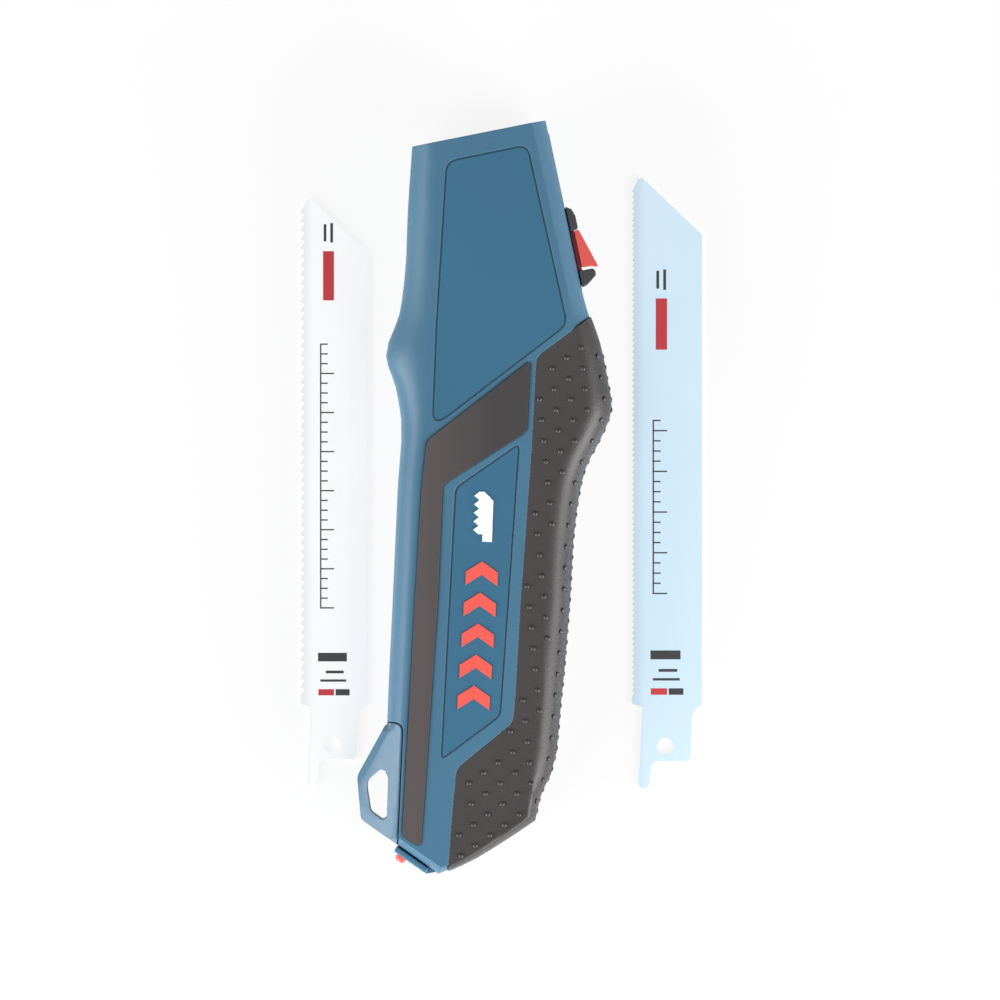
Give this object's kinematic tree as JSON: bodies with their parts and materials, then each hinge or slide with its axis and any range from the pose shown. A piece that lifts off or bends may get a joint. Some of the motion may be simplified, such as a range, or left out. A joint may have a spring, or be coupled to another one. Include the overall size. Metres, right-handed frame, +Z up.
{
  "type": "hand saw for sabre saw blades",
  "caption": "Two-shell hand saw grip with a blade clamp in its nose, thumb release on the spine, blade magazine behind a tail door, hang loop and loose sabre saw blades beside it.",
  "frame": {"origin": "middle of the bounding box in plan, on the surface that the far flank and the loose blades lie on", "axes": "+Y along the blade magazine from the tail to the blade mouth, +X towards the spine that the thumb release runs on, +Z up from the surface through both flanks"},
  "size_m": [0.1029, 0.1851, 0.0306],
  "materials": {
    "blue_plastic": "satin moulded plastic",
    "grip_rubber": "matt soft rubber with small nubs",
    "inlay_plastic": "matt dark grey",
    "black_plastic": "matt black",
    "navy_plastic": "matt dark blue",
    "red_plastic": "glossy red",
    "blade_steel": "pale blue coated steel",
    "white_steel": "white coated steel",
    "plain_steel": "ground steel",
    "small_steel": "plated steel",
    "spring_steel": "spring wire"
  },
  "bodies": {
    "handle": {"near_shell": "blue_plastic", "far_shell": "blue_plastic", "near_grip": "grip_rubber", "far_grip": "grip_rubber", "near_inlay": "inlay_plastic", "far_inlay": "inlay_plastic", "hang_loop": "blue_plastic", "magazine_sleeve": "black_plastic", "mouth_guide": "navy_plastic", "near_jaw": "plain_steel", "far_jaw": "plain_steel", "jaw_shim": "plain_steel", "spine_rail": "black_plastic", "door_hinge_pin": "small_steel", "lock_pin_spring": "spring_steel", "slider_spring": "spring_steel", "jaw_rivet_1": "small_steel", "jaw_rivet_2": "small_steel", "jaw_rivet_3": "small_steel", "jaw_rivet_4": "small_steel", "shell_screw_1": "small_steel", "shell_screw_2": "small_steel", "shell_screw_3": "small_steel", "shell_screw_4": "small_steel", "shell_screw_5": "small_steel", "shell_screw_6": "small_steel"},
    "slider": {"release_slider": "black_plastic", "release_fork": "plain_steel", "fork_screw": "small_steel", "button_spring": "spring_steel"},
    "button": {"release_button": "red_plastic"},
    "pin": {"lock_pin": "plain_steel"},
    "door": {"tail_door": "navy_plastic", "door_tab": "red_plastic"},
    "metal_cutting_blade": {"metal_blade": "blade_steel"},
    "wood_cutting_blade": {"wood_metal_blade": "white_steel"}
  },
  "joints": [
    {"name": "slider_slide", "type": "slide", "parent": "handle", "child": "slider", "axis": [-0.2419, 0.9703, 0], "range_m": [0, 0.007], "stiffness_N_per_m": 300, "springref_m": -0.004, "deforming": ["slider_spring"]},
    {"name": "button_press", "type": "slide", "parent": "slider", "child": "button", "axis": [-0.9703, -0.2419, 0], "range_m": [0, 0.0008], "stiffness_N_per_m": 900, "springref_m": -0.001, "deforming": ["button_spring"]},
    {"name": "pin_draw", "type": "slide", "parent": "handle", "child": "pin", "axis": [0, 0, -1], "range_m": [0, 0.0024], "deforming": ["lock_pin_spring"]},
    {"name": "door_swing", "type": "hinge", "parent": "handle", "child": "door", "pos_m": [-0.0117, -0.09018, 0.0153], "axis": [0, 0, 1], "range_deg": [0, 115]},
    {"name": "metal_blade_lift", "type": "slide", "parent": "handle", "child": "metal_cutting_blade", "axis": [0, 0, 1], "range_m": [0, 0.06]},
    {"name": "wood_blade_lift", "type": "slide", "parent": "handle", "child": "wood_cutting_blade", "axis": [0, 0, 1], "range_m": [0, 0.06]}
  ],
  "couplings": [
    {"joint": "pin_draw", "follows": "slider_slide", "ratio": 0.34286}
  ]
}
